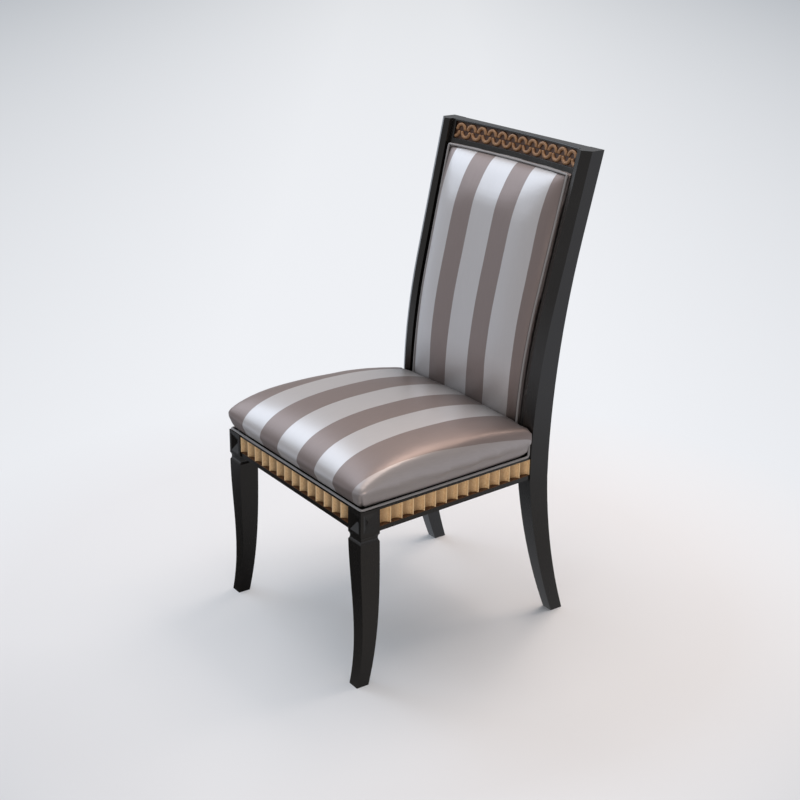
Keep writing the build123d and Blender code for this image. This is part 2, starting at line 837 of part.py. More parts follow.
def corner_screws():
    """Screws of the right corner blocks: two into the rails and one up into the seat board."""
    grip = screw_length - screw_bite
    front_y = rail_setback + rail_thickness + grip
    front_x = block_inner - corner_block_length / 2
    side_y = block_size + corner_block_length / 2
    side_x = side_face(side_y) - (rail_thickness + grip) * slant
    back_side_y = seat_depth - corner_block_length / 2
    back_side_x = side_face(back_side_y) - (rail_thickness + grip) * slant
    back_x = post_inner - corner_block_length / 2
    back_y = rear_rail_front - grip
    outward = tuple(-rail_inward)
    into_rails = [
        ((front_x, front_y, screw_height), (0, -1, 0)),
        ((side_x, side_y, screw_height), outward),
        ((back_side_x, back_side_y, screw_height), outward),
        ((back_x, back_y, screw_height), (0, 1, 0)),
    ]
    low = rail_top - corner_block_height
    into_seat = [
        ((block_inner - block_size * 0.25, block_size + corner_block_length * 0.12, low), (0, 0, 1)),
        ((post_inner - block_size * 0.1, seat_depth - corner_block_length * 0.2, low), (0, 0, 1)),
    ]
    return into_rails, into_seat


os.makedirs("parts", exist_ok=True)
right_leg = front_leg()
write("front_right_leg", right_leg)
write("front_left_leg", mirrored(right_leg))
right_post = rear_post()
write("rear_right_post", right_post)
write("rear_left_post", mirrored(right_post))

into_rails, into_seat = corner_screws()
pocket = corner_block_length
rail_holes = [screw(start, direction, screw_length, glue_gap, pocket) for start, direction in into_rails]
seat_holes = [screw(start, direction, seat_screw_length, glue_gap) for start, direction in into_seat]
rail_screws = [screw(start, direction, screw_length) for start, direction in into_rails]
seat_screws = [screw(start, direction, seat_screw_length) for start, direction in into_seat]


def bored(shape, holes, both_sides=False):
    for hole in holes:
        shape = shape - hole
        if both_sides:
            shape = shape - mirrored(hole)
    return shape


rail = drilled(front_rail(), front_dowels, mirrored_places(front_dowels))
write("front_seat_rail", bored(rail, rail_holes, both_sides=True))
rail = drilled(rear_rail(), rear_dowels, mirrored_places(rear_dowels))
write("rear_seat_rail", bored(rail, rail_holes, both_sides=True))
rail = bored(drilled(side_rail(), side_front_dowels, side_rear_dowels), rail_holes)
write("right_seat_rail", rail)
write("left_seat_rail", mirrored(rail))

strip = fluted_strip((-block_inner, rail_setback, 0), (block_inner, rail_setback, 0), (0, 1, 0), seat_gap)
write("front_flute_strip", strip)
strip = side_strip()
write("right_flute_strip", strip)
write("left_flute_strip", mirrored(strip))

write("crest_rail", crest_rail())
write("crest_ground", crest_ground())
write("crest_guilloche", *crest_carving())
write("lower_back_rail", lower_back_rail())
write("back_panel", back_panel())
write("outside_back_cover", outside_back())
foam_angle = pad_angle - math.degrees((cover_thickness + cloth_gap) / back_radius)
ledge = back_piping_diameter + soft_gap
inner_ledge = ledge - cover_thickness
inner_low = back_pad_rise + cover_thickness
inner_high = pad_top - cover_thickness
cavity_angle = pad_angle - math.degrees(cover_thickness / back_radius)
outer_pad = back_pad(cover_thickness, pad_angle, back_pad_rise, pad_top, ledge)
cavity = back_pad(0, cavity_angle, inner_low, inner_high, inner_ledge, panel_thickness)
foam_low = inner_low + cloth_gap
foam_high = inner_high - cloth_gap
write("back_foam", back_pad(-cloth_gap, foam_angle, foam_low, foam_high, inner_ledge))
write("back_cover", outer_pad - cavity)
write("back_piping", back_piping())

write("seat_board", bored(seat_board(), seat_holes, both_sides=True))
write("seat_foam", seat_foam())
write("seat_cover", seat_cover())
write("seat_piping", seat_piping())

block = bored(bored(front_corner_block(), rail_holes), seat_holes)
write("front_right_corner_block", block)
write("front_left_corner_block", mirrored(block))
block = bored(bored(rear_corner_block(), rail_holes), seat_holes)
write("rear_right_corner_block", block)
write("rear_left_corner_block", mirrored(block))
write("corner_block_screws", *rail_screws, *[mirrored(piece) for piece in rail_screws])
write("seat_screws", *seat_screws, *[mirrored(piece) for piece in seat_screws])

write_dowels("front_rail_dowels", front_dowels)
write_dowels("side_rail_front_dowels", side_front_dowels)
write_dowels("side_rail_rear_dowels", side_rear_dowels)
write_dowels("rear_rail_dowels", rear_dowels)
write_dowels("crest_rail_dowels", crest_dowels, back_dowel_diameter)
write_dowels("lower_back_rail_dowels", lower_dowels, back_dowel_diameter)
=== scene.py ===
# %% [markdown]
# This is a dining chair in black lacquer, with gilt flutes along its seat rails, a gilt carved band in its
# crest, and a padded seat and back in striped satin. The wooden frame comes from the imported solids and
# keeps its shape: only its finish and its eased edges are made here. Everything soft is rebuilt below as a
# smooth surface, because a solid model can't show how cloth rolls over its filling. The crest and its
# carved band are rebuilt too, with softer edges.

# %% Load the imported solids
import json
import bmesh
import bpy
import numpy as np
from mathutils import Matrix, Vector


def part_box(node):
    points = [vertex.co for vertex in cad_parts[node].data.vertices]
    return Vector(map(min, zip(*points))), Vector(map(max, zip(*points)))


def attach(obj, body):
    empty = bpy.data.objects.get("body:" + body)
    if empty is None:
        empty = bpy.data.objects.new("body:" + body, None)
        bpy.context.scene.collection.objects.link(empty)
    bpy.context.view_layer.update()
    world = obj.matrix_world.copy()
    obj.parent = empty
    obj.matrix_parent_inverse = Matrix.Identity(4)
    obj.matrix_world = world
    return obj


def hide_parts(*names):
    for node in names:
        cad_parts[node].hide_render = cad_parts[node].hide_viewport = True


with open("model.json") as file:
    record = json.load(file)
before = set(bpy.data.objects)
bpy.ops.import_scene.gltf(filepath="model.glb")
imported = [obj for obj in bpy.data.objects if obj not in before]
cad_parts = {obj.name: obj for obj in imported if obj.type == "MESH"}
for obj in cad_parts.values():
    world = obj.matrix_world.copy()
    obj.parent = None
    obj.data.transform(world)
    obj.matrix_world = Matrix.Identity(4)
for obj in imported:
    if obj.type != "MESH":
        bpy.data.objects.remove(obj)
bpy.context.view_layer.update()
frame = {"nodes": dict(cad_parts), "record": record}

# %% [markdown]
# A chair maker measures back from the front of the legs, in millimetres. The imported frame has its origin
# under the middle of the chair, in metres. One small function turns the first into the second, so that
# every size below can be read off a tape measure.

# %% From the maker's millimetres to the shared frame
rail_setback = 3.0
front_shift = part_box("front_seat_rail")[0][1] * 1000.0 - rail_setback


def place(points):
    """Adds the shift along y to points in millimetres, then divides by a thousand."""
    return (np.asarray(points, float) + (0.0, front_shift, 0.0)) / 1000.0


print("front of the legs at y =", round(front_shift, 2), "mm")

# %% [markdown]
# Every new piece starts as an array of points in rows and columns. Neighbouring points are joined by quads.
# A form that goes right round, such as a cord, joins its last column to its first.

# %% Grids of points into meshes


def quads(rows, columns, round_and_round=False):
    """Corner numbers of the quads of a grid: each point, the next in its row, and the two below them."""
    last = columns if round_and_round else columns - 1
    row, column = np.meshgrid(np.arange(rows - 1), np.arange(last), indexing="ij")
    beside = (column + 1) % columns
    corners = [row * columns + column, row * columns + beside]
    corners += [(row + 1) * columns + beside, (row + 1) * columns + column]
    return np.stack(corners, axis=-1).reshape(-1, 4)


def tube_faces(rows, columns):
    """The quads of a grid that goes right round, with one more face over each end."""
    faces = quads(rows, columns, True).tolist()
    return faces + [list(range(columns)), list(range((rows - 1) * columns, rows * columns))]


def make_piece(name, points, faces):
    """Puts points and faces into a mesh, turns the faces outwards and shades them smooth."""
    mesh = bpy.data.meshes.new(name)
    mesh.from_pydata(np.asarray(points).reshape(-1, 3).tolist(), [], [tuple(face) for face in faces])
    shape = bmesh.new()
    shape.from_mesh(mesh)
    bmesh.ops.recalc_face_normals(shape, faces=shape.faces)
    shape.to_mesh(mesh)
    shape.free()
    mesh.polygons.foreach_set("use_smooth", np.ones(len(mesh.polygons), bool))
    piece = bpy.data.objects.new(name, mesh)
    bpy.context.collection.objects.link(piece)
    print(name, len(mesh.vertices), "points", len(mesh.polygons), "faces")
    return piece


# %% Two grids closed into a pad


def closed_pad(name, upper, lower):
    """Joins two grids of the same size along their rims, with the lower one facing the other way."""
    rows, columns = upper.shape[:2]
    count = rows * columns
    number = np.arange(count).reshape(rows, columns)
    rim = np.concatenate([number[0, :-1], number[:-1, -1], number[-1, :0:-1], number[:0:-1, 0]])
    after = np.roll(rim, -1)
    wall = np.stack([rim, after, after + count, rim + count], axis=-1)
    top = quads(rows, columns)
    faces = np.concatenate([top, top[:, ::-1] + count, wall])
    points = np.concatenate([upper.reshape(-1, 3), lower.reshape(-1, 3)])
    return make_piece(name, points, faces.tolist())


# %% A round cord along a path


def cord_along(name, path, outward, radius, sides=12):
    """Carries a circle along a path, standing across it at each point; outward says which way is up."""
    heading = np.gradient(path, axis=0)
    heading /= np.linalg.norm(heading, axis=1, keepdims=True)
    up = outward - heading * np.sum(outward * heading, axis=1, keepdims=True)
    up /= np.linalg.norm(up, axis=1, keepdims=True)
    across = np.cross(heading, up)
    turn = np.linspace(0, 2 * np.pi, sides, endpoint=False)
    ring = up[:, None] * np.cos(turn)[None, :, None] + across[:, None] * np.sin(turn)[None, :, None]
    points = path[:, None] + radius * ring
    return make_piece(name, place(points), tube_faces(len(path), sides))


def eased(corners, reach, pitch=1.5):
    """Divides the runs between corners evenly, then averages each point with those within reach of it."""
    corners = np.asarray(corners, float)
    runs = np.linalg.norm(np.diff(corners, axis=0), axis=1)
    station = np.concatenate([[0.0], np.cumsum(runs)])
    at = np.linspace(0, station[-1], int(station[-1] / pitch))
    line = np.stack([np.interp(at, station, corners[:, axis]) for axis in range(3)], axis=1)
    width = max(int(reach / pitch), 1)
    weight = np.hanning(2 * width + 3)[1:-1]
    weight /= weight.sum()
    ends = np.concatenate([2 * line[0] - line[width:0:-1], line, 2 * line[-1] - line[-2:-width - 2:-1]])
    return np.stack([np.convolve(ends[:, axis], weight, "valid") for axis in range(3)], axis=1)


# %% [markdown]
# The back leans and bends. Its face line starts upright at the seat, turns backwards along a wide arc and
# then runs straight. Seen from above it is hollow, a part of a large circle. Two numbers find any place on
# it: the distance along the face line and the angle round the circle. A third says how far behind the face
# line.

# %% The curve of the back
lean = np.radians(13.2)
post_splay = np.radians(1.25)
seat_depth = 451.0
rail_top = 392.0
chair_height = 1033.0
posts_apart = 193.0
ridge_step = 12.0
bend_radius = 328.0 / np.sin(lean)
bend_arc = bend_radius * lean
ridge_rise = rail_top + (bend_radius + ridge_step) * np.sin(lean)
face_length = bend_arc + (chair_height - ridge_rise) / np.cos(lean)
back_radius = 1800.0
half_back = posts_apart + face_length * np.tan(post_splay)
crest_front = back_radius - np.sqrt(back_radius**2 - half_back**2) + 2.0


def back_point(behind, along):
    """An arc about the bend's centre up to the bend's end, and a straight line at the lean beyond it."""
    turn = np.minimum(along, bend_arc) / bend_radius
    beyond = np.maximum(along - bend_arc, 0.0)
    radius = bend_radius - behind
    y = seat_depth + bend_radius - radius * np.cos(turn) + beyond * np.sin(lean)
    z = rail_top + radius * np.sin(turn) + beyond * np.cos(lean)
    return y, z


circle_y = back_point(crest_front, face_length)[0] - back_radius


def on_back(angle, behind, along):
    """The point of the upright section, swung by the angle about the upright line at the circle's centre."""
    y, z = back_point(behind, along)
    reach = y - circle_y
    return np.stack(np.broadcast_arrays(reach * np.sin(angle), circle_y + reach * np.cos(angle), z), axis=-1)


print("face line", round(face_length, 1), "mm long, crest", round(crest_front, 2), "mm behind it")

# %% [markdown]
# Upholstery is cloth pulled over a filling. A formula gives the shape that was measured from the
# photograph. Then Blender's cloth is blown up gently from inside, with the nailed-down edges held, so that
# the sides draw in between the corners and the top swells as a stuffed seat does. How far a point may
# travel is capped, and the cushion is then brought back to its measured box.

# %% Blow up a cushion


def remeshed(piece, voxel):
    """Replaces the mesh by even quads about one voxel wide, and eases the steps that leaves."""
    grain = piece.modifiers.new("grain", "REMESH")
    grain.mode = "VOXEL"
    grain.voxel_size = voxel
    grain.use_smooth_shade = True
    ease = piece.modifiers.new("ease", "SMOOTH")
    ease.factor = 0.5
    ease.iterations = 8
    settle(piece)


def settle(piece):
    """Gives the piece the mesh that its modifiers make, and takes the modifiers away."""
    depsgraph = bpy.context.evaluated_depsgraph_get()
    mesh = bpy.data.meshes.new_from_object(piece.evaluated_get(depsgraph))
    piece.modifiers.clear()
    piece.data = mesh
    mesh.polygons.foreach_set("use_smooth", np.ones(len(mesh.polygons), bool))


def points_of(mesh):
    """The mesh's points as an array of rows."""
    flat = np.empty(len(mesh.vertices) * 3, np.float32)
    mesh.vertices.foreach_get("co", flat)
    return flat.reshape(-1, 3).astype(float)


def in_millimetres(piece):
    """The piece's points times a thousand, less the shift along y: place turned round."""
    return points_of(piece.data) * 1000.0 - (0.0, front_shift, 0.0)


def move_points(piece, points):
    """Puts an array of rows back as the mesh's points."""
    piece.data.vertices.foreach_set("co", points.astype(np.float32).ravel())
    piece.data.update()


def blown_up(piece, held, pressure, cap):
    """Cloth under pressure for twenty frames; each point then moves that way, no further than the cap."""
    start = points_of(piece.data)
    piece.vertex_groups.new(name="held").add(np.flatnonzero(held).tolist(), 1.0, "REPLACE")
    cloth = piece.modifiers.new("cloth", "CLOTH")
    cloth.settings.quality = 6
    cloth.settings.mass = 0.3
    cloth.settings.tension_stiffness = 30.0
    cloth.settings.bending_stiffness = 6.0
    cloth.settings.use_pressure = True
    cloth.settings.uniform_pressure_force = pressure
    cloth.settings.vertex_group_mass = "held"
    cloth.settings.effector_weights.gravity = 0.0
    cloth.point_cache.frame_end = 20
    for number in range(1, 21):
        bpy.context.scene.frame_set(number)
    settle(piece)
    bpy.context.scene.frame_set(1)
    piece.vertex_groups.clear()
    travel = points_of(piece.data) - start
    length = np.linalg.norm(travel, axis=1, keepdims=True)
    travel *= np.minimum(1.0, cap / np.maximum(length, 1e-9))
    travel = evened(piece.data, travel, 60)
    move_points(piece, start + travel)
    print(piece.name, "swelled by up to", round(float(length.max()) * 1000, 1), "mm before the cap")


def evened(mesh, travel, rounds):
    """Averages each point's travel with its neighbours', several times, so that no small lumps are left."""
    ends = np.empty(len(mesh.edges) * 2, np.int32)
    mesh.edges.foreach_get("vertices", ends)
    first, second = ends.reshape(-1, 2).T
    count = np.bincount(ends, minlength=len(travel))[:, None]
    for _ in range(rounds):
        total = np.zeros_like(travel)
        np.add.at(total, first, travel[second])
        np.add.at(total, second, travel[first])
        travel = 0.4 * travel + 0.6 * total / np.maximum(count, 1)
    return travel


# %% Bring a cushion back to its measured box


def fitted(piece, target):
    """Stretches each axis in a straight line, so that the piece's box is the target points' box again."""
    spot = points_of(piece.data)
    low, high = spot.min(axis=0), spot.max(axis=0)
    target = np.asarray(target).reshape(-1, 3)
    share = (spot - low) / (high - low)
    spot = target.min(axis=0) + share * (target.max(axis=0) - target.min(axis=0))
    move_points(piece, spot)
    print(piece.name, "stretched by", np.round(np.ptp(target, axis=0) / (high - low) - 1, 4).tolist())


# %% [markdown]
# The seat is a deep pad on a board. Its front rolls over in a quarter of a long ellipse, its sides roll
# over much more tightly, and it is highest a little behind the middle. Towards the rear it dips where the
# back presses on it. The plan is a trapezoid with rounded corners, a little wider than the rails below it.

# %% The seat's plan and height
seat_front_half = 266.5
seat_rear_half = 238.0
seat_front = -5.0
seat_rear = 437.0
front_edge = 418.0
crown_height = 500.0
rail_half = 262.0
rail_taper = 28.0


def seat_half(y):
    """Half the seat's width: widest at the front, and narrowing faster and faster to the rear."""
    return seat_front_half - (seat_front_half - seat_rear_half) * np.clip(y / seat_rear, 0, 1.05) ** 2


def crowded(count, power):
    """Numbers from -1 to 1 that stand closer together towards both ends."""
    even = np.linspace(-1, 1, count)
    return np.sign(even) * (1 - (1 - np.abs(even)) ** power)


def rounded_square(u, v, corner):
    """A square grid with quarter circles for corners: there, each of u and v shrinks as the other grows."""
    start = 1 - corner
    du = np.clip((np.abs(u) - start) / corner, 0, 1)
    dv = np.clip((np.abs(v) - start) / corner, 0, 1)
    both = (du > 0) & (dv > 0)
    new_u = np.sign(u) * (start + corner * du * np.sqrt(1 - dv**2 / 2))
    new_v = np.sign(v) * (start + corner * dv * np.sqrt(1 - du**2 / 2))
    return np.where(both, new_u, u), np.where(both, new_v, v)


def seat_edge(x, y):
    """Height of the widest line: low along the front, higher towards the sides, where the pad swells out."""
    return front_edge + 10.0 * np.clip(np.abs(x) / seat_half(y), 0, 1) ** 4


def seat_height(x, y):
    """Edge height plus a crown: a long roll from the front, a slow fall to the rear, and full sides."""
    peak, rear_fall = 256.0, 167.0
    front = np.sqrt(1 - np.clip(1 - (y - seat_front) / (peak - seat_front), 0, 1) ** 2.6)
    rear = 1 - 0.31 * np.clip((y - peak - 14) / rear_fall, 0, 1) ** 1.6
    out = np.clip(np.abs(x) / seat_half(y), 0, 1)
    side = (1 - 0.24 * out**2) * np.sqrt(1 - out**34)
    edge = seat_edge(x, y)
    return edge + (crown_height - edge) * front * rear * side


# %% Make the seat cushion
u, v = np.meshgrid(crowded(121, 1.7), crowded(105, 1.7))
u, v = rounded_square(u, v, np.where(v > 0, 0.03, 0.06))
# At the rear corners the cover runs on to the slanting face of each post.
run_on = 0.6 * np.clip(np.abs(u) * seat_rear_half - 214.0, 0, 30) * (v + 1) / 2
seat_y = seat_front + (seat_rear - seat_front) * (1 + v) / 2
seat_x = u * seat_half(seat_y)
upper = np.stack([seat_x, seat_y + run_on, seat_height(seat_x, seat_y)], axis=-1)
# Underneath, the flanks tuck in to the cord and then run flat over the board.
tuck = np.sqrt(1 - np.maximum(np.abs(u), np.abs(v)) ** 60)
seat_foot = rail_top + 1.2
edge = seat_edge(seat_x, seat_y)
foot_start = 2.5
foot_x = u * (rail_half - 0.5 - rail_taper * np.clip(seat_y / seat_rear, 0, 1))
foot_y = foot_start + (seat_rear - foot_start) * (1 + v) / 2 + run_on
foot = np.stack([foot_x, foot_y, edge - (edge - seat_foot) * tuck], axis=-1)
lower = foot + (1 - tuck[..., None]) * (upper - foot)
seat_box = place([upper, lower])
seat_cushion = closed_pad("seat_cushion", *seat_box)
remeshed(seat_cushion, 0.0052)
# Held points lie just above the rails, or at the rear under the back.
spot = in_millimetres(seat_cushion)
held = (spot[:, 2] < rail_top + 9) | (spot[:, 1] > seat_rear - 12)
cushion_pressure, seat_travel = 4.0, 0.0035
blown_up(seat_cushion, held, cushion_pressure, seat_travel)
fitted(seat_cushion, seat_box)

# %% [markdown]
# Where the cover turns a front corner, the upholsterer folds the spare cloth under in a short dart. It
# shows as a small upright crease above the cord.

# %% Sink the corner darts


def sink_darts(piece, depth, width, low, high):
    """Moves points inwards by a bell curve of the distance from the corner's line, fading with height."""
    spot = in_millimetres(piece)
    for side in (-1.0, 1.0):
        inward = np.array([-side, 1.0]) / np.sqrt(2.0)
        gap = np.array([side * (seat_front_half - 4.0), seat_front + 4.0]) - spot[:, :2]
        aside = np.abs(gap[:, 0] * inward[1] - gap[:, 1] * inward[0])
        near = np.linalg.norm(gap, axis=1) < 40
        fade = np.clip((high - spot[:, 2]) / (high - low), 0, 1) * near
        spot[:, :2] += (depth * np.exp(-(aside / width) ** 2) * fade)[:, None] * inward
    move_points(piece, place(spot))


def fine(piece):
    """One level of subdivision, which rounds the even quads."""
    smooth = piece.modifiers.new("fine", "SUBSURF")
    smooth.levels = 1
    smooth.render_levels = 1
    settle(piece)


fine(seat_cushion)
sink_darts(seat_cushion, 5.5, 2.4, 398.0, 432.0)
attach(seat_cushion, "root")
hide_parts("seat_cover", "seat_foam")
print("seat cushion", len(seat_cushion.data.polygons), "faces")

# %% [markdown]
# The inside back is a pad on a curved board between the posts. It is thick in the middle, rolls over at the
# top and the sides, and keeps a narrow ledge all round, where the cord lies.

# %% The back pad's thickness
bed = crest_front + 4.0
pad_low = 34.0
pad_high = face_length - 48.0
pad_angle = np.arcsin((half_back - 1.0) / back_radius) - np.radians(0.1)
pad_edge = 9.0
pad_ledge = 5.3


def pad_thickness(share, along):
    """Edge thickness plus a crown: elliptic from the top, rolled to the sides, thinner behind the seat."""
    down = np.clip((pad_high - pad_ledge - along) / 118.0, 0, 1)
    top = np.sqrt(1 - (1 - down) ** 2)
    height = np.clip((along - pad_low) / (pad_high - pad_low), 0, 1)
    heights = [0, 0.05, 0.075, 0.13, 0.22, 0.4, 0.65, 1]
    fullnesses = [0.52, 0.62, 0.82, 0.84, 0.89, 0.95, 1, 1]
    fullness = np.interp(height, heights, fullnesses)
    across = np.clip(np.abs(share) / (1 - pad_ledge / 200.0), 0, 1)
    side = np.sqrt(1 - across**5)
    return pad_edge + 40.0 * top * fullness * side


# %% Make the back cushion
share, rise = np.meshgrid(crowded(105, 1.6), crowded(129, 1.6))
along = pad_low + (pad_high - pad_low) * (rise + 1) / 2
thickness = pad_thickness(share, along)
upper = on_back(share * pad_angle, bed - 0.4 - thickness, along)
lower = on_back(share * pad_angle, bed - 0.4 + 0 * thickness, along)
back_box = place([upper, lower])
back_cushion = closed_pad("back_cushion", *back_box)
remeshed(back_cushion, 0.005)
# Held points lie within a few millimetres of the board.
spot = in_millimetres(back_cushion)
reach = np.hypot(spot[:, 0], spot[:, 1] - circle_y)
heights = np.linspace(pad_low - 30, pad_high + 30, 900)
board_y, board_z = back_point(bed, heights)
stands_off = np.interp(spot[:, 2], board_z, board_y) - circle_y - reach
back_travel = 0.003
blown_up(back_cushion, stands_off < pad_edge + 2.0, cushion_pressure, back_travel)
fitted(back_cushion, back_box)
fine(back_cushion)
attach(back_cushion, "root")
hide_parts("back_cover", "back_foam")
print("back cushion", len(back_cushion.data.polygons), "faces")

# %% [markdown]
# A thin cord covered in the same cloth is sewn along the lower edge of the seat and round the inside back.
# At the rear of the seat it turns up beside the posts.

# %% The seat's cord
cord_radius = 2.5
cord_inset = 3.2
cord_height = rail_top + cord_radius + 0.1
end_y = seat_rear + 9.0
front_x = rail_half - cord_inset
end_x = front_x - rail_taper * end_y / seat_rear
turned_up = [(end_x + 1, end_y, cord_height), (end_x + 1, end_y, 438), (end_x - 9, end_y + 2, 452)]
corners = [(-x, y, z) for x, y, z in turned_up[::-1]]
corners += [(-front_x, cord_inset, cord_height), (front_x, cord_inset, cord_height)] + turned_up
seat_path = eased(corners, 9.0)
middle = np.array([0.0, seat_rear / 2, 420.0])
seat_cord = cord_along("seat_cord", seat_path, seat_path - middle, cord_radius)

# %% The back's cord
cord_behind = bed - pad_edge - 2.4 - cord_radius
cord_angle = pad_angle - cord_radius / back_radius
levels = np.linspace(pad_low + 5, pad_high - cord_radius, 120)
swing = np.linspace(-cord_angle, cord_angle, 90)[1:-1]
left = on_back(-cord_angle, cord_behind, levels)
top = on_back(swing, cord_behind, pad_high - cord_radius)
right = on_back(cord_angle, cord_behind, levels[::-1])
back_path = eased(np.concatenate([left, top, right]), 5.0)
forward = np.broadcast_to([0.0, -1.0, 0.25], back_path.shape)
back_cord = cord_along("back_cord", back_path, forward, cord_radius)
for cord, replaced in ((seat_cord, "seat_piping"), (back_cord, "back_piping")):
    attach(cord, "root")
    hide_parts(replaced)

# %% [markdown]
# Behind, the chair is closed by a thin board covered in the same cloth over a little wadding. It is a
# shallow pillow: almost flat, with rounded edges.

# %% The outside back
board, lower_rail = 8.0, 16.0
outside_front = max(crest_front + 20.0, bed + board + lower_rail)
share, rise = np.meshgrid(crowded(61, 1.8), crowded(91, 1.8))
along = 20.0 + (face_length - 50.0) * (rise + 1) / 2
swell = np.sqrt((1 - np.abs(share) ** 14) * (1 - np.abs(rise) ** 22))
swing = share * pad_angle * 0.985
outer = on_back(swing, outside_front + 1.0 + 3.5 * swell, along)
inner = on_back(swing, outside_front + 0.3 + 0 * swell, along)
outside_back = closed_pad("outside_back", place(outer), place(inner))
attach(outside_back, "root")
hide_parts("outside_back_cover")

# %% [markdown]
# The crest is one bent board between the posts. Below, it is cut back for the pad's board. Above, its rear
# is as deep as the posts, so that the top runs through level. The outline is drawn as a section with
# softened corners and carried round the back's curve. Along the middle, a second outline with a sunk panel
# takes its place.

# %% The crest's outline
crest_top = face_length + (crest_front + ridge_step) * np.tan(lean)
carving_half = 202.0
panel_height = 38.0
panel_depth = 7.0
sunk_high = crest_top - 4.5
sunk_low = sunk_high - panel_height
crest_rear = crest_front + 29.4
board_rear = crest_front + 20.0
crest_low = face_length - 72.0
ledge = face_length - 29.0


def softened(corners, reach):
    """Each corner becomes a short curve that leaves one side, bends towards the corner and joins the next."""
    corners = np.array(corners, float)
    before = np.roll(corners, 1, axis=0) - corners
    after = np.roll(corners, -1, axis=0) - corners
    reach = np.array(reach)[:, None]
    start = corners + before * reach / np.linalg.norm(before, axis=1, keepdims=True)
    end = corners + after * reach / np.linalg.norm(after, axis=1, keepdims=True)
    t = np.linspace(0, 1, 6)[None, :, None]
    curve = (1 - t) ** 2 * start[:, None] + 2 * t * (1 - t) * corners[:, None] + t**2 * end[:, None]
    return curve.reshape(-1, 2)


def crest_section(sunk, step):
    """Corners as (behind the face line, along it): lower front, sunk panel, top and rear, in that order."""
    rear_top = face_length + (crest_rear + ridge_step) * np.tan(lean)
    cut_back = crest_front + 12.0
    corners = [(cut_back, crest_low), (cut_back, pad_high), (crest_front, pad_high)]
    corners += [(crest_front, sunk_low), (crest_front + sunk, sunk_low + step)]
    corners += [(crest_front + sunk, sunk_high - step), (crest_front, sunk_high)]
    corners += [(crest_front, crest_top), (crest_rear, rear_top), (crest_rear, ledge)]
    corners += [(board_rear, ledge), (board_rear, crest_low)]
    return softened(corners, [0.3, 0.3, 1.0, 0.4, 0.2, 0.2, 0.4, 1.8, 3.0, 1.0, 0.3, 0.3])


# %% Make the crest
plain = crest_section(0.0, 1.0)
panelled = crest_section(panel_depth, 0.0)
reach, rise = back_point(plain[:, 0], plain[:, 1])
post_half = posts_apart + (rise - rail_top) * np.tan(post_splay) - 0.05
end_angle = np.arcsin(post_half / (reach - circle_y))
panel_angle = carving_half / back_radius
sweep = np.linspace(-panel_angle, panel_angle, 61)[:, None]
rows = [on_back(-end_angle, *plain.T)[None], on_back(-panel_angle, *plain.T)[None]]
rows += [on_back(sweep, *panelled.T)]
rows += [on_back(panel_angle, *plain.T)[None], on_back(end_angle, *plain.T)[None]]
grid = np.concatenate(rows)
# The rear is planed straight across, flush with the posts.
planed = plain[:, 0] > board_rear + 1.0
grid[:, planed, 1] = grid[0, planed, 1]
crest = make_piece("crest", place(grid), tube_faces(*grid.shape[:2]))
crest.data.set_sharp_from_angle(angle=np.radians(35))
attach(crest, "root")
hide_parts("crest_rail")

# %% [markdown]
# The crest carries a band of carving: two rows of horseshoes that face each other, the lower row half a
# step along, so that they seem to link. Each is a ribbon with a round top. One ribbon is worked out flat,
# as an arch with two legs, then repeated along the band and bent round the crest.

# %% The carved band
ribbon_width = 8.3
ribbon_relief = 4.2
horseshoes = 12
pitch = 2 * carving_half / horseshoes
arch_radius = (pitch - 0.9 - ribbon_width) / 2
arch_foot = 1.5
ground_thickness = 2.5
band_middle = sunk_high - panel_height / 2
ground_face = crest_front + panel_depth - ground_thickness


def ribbon(start, end):
    """A half ellipse carried along an arch, with rounded ends: points as (along the band, up it, relief)."""
    arc = np.linspace(start, end, 41)
    out = np.stack([-np.cos(arc), np.sin(arc)], axis=1)
    line = arch_radius * out + (0.0, arch_foot)
    from_end = arch_radius * np.minimum(arc - start, end - arc)
    taper = np.sqrt(1 - (1 - np.clip(from_end / 2.6, 0.02, 1)) ** 2)
    turn = np.linspace(0, np.pi, 11)
    aside = ribbon_width / 2 * np.cos(turn)
    relief = ribbon_relief * np.sin(turn) ** 0.8
    flat = line[:, None] + (taper[:, None] * aside[None, :])[..., None] * out[:, None]
    height = taper[:, None] * relief[None, :] - 0.2
    return np.concatenate([flat, height[..., None]], axis=2)


# %% Set the ribbons along the crest
whole = ribbon(-0.1, np.pi + 0.1)
half = ribbon(-0.1, np.pi / 2)
ribbons = [(whole, (index + 0.5) * pitch - carving_half, 1) for index in range(horseshoes)]
ribbons += [(whole, index * pitch - carving_half, -1) for index in range(1, horseshoes)]
ribbons += [(half, carving_half, -1), (half * (-1, 1, 1), -carving_half, -1)]
points, faces, count = [], [], 0
for shape, along, up in ribbons:
    across, rise, relief = np.moveaxis(shape, 2, 0)
    bent = on_back((across + along) / back_radius, ground_face - relief, band_middle + up * rise)
    points.append(bent.reshape(-1, 3))
    faces += [[count + corner for corner in face] for face in tube_faces(*shape.shape[:2])]
    count += points[-1].shape[0]
carved_band = make_piece("carved_band", place(np.concatenate(points)), faces)
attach(carved_band, "root")
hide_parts("crest_guilloche")

# %% [markdown]
# Each finish is a small tree of nodes. A helper adds one node: a value given for an input is set on it, and
# a socket given for an input is linked to it. All patterns read Object coordinates, which are metres in the
# chair's own frame, because no piece is moved or scaled.

# %% Node helpers


def node(tree, kind, inputs, **settings):
    """Adds a shader node with its settings, values and links."""
    made = tree.nodes.new("ShaderNode" + kind)
    for name, value in settings.items():
        setattr(made, name, value)
    for name, value in inputs.items():
        if isinstance(value, bpy.types.NodeSocket):
            tree.links.new(value, made.inputs[name])
        else:
            made.inputs[name].default_value = value
    return made


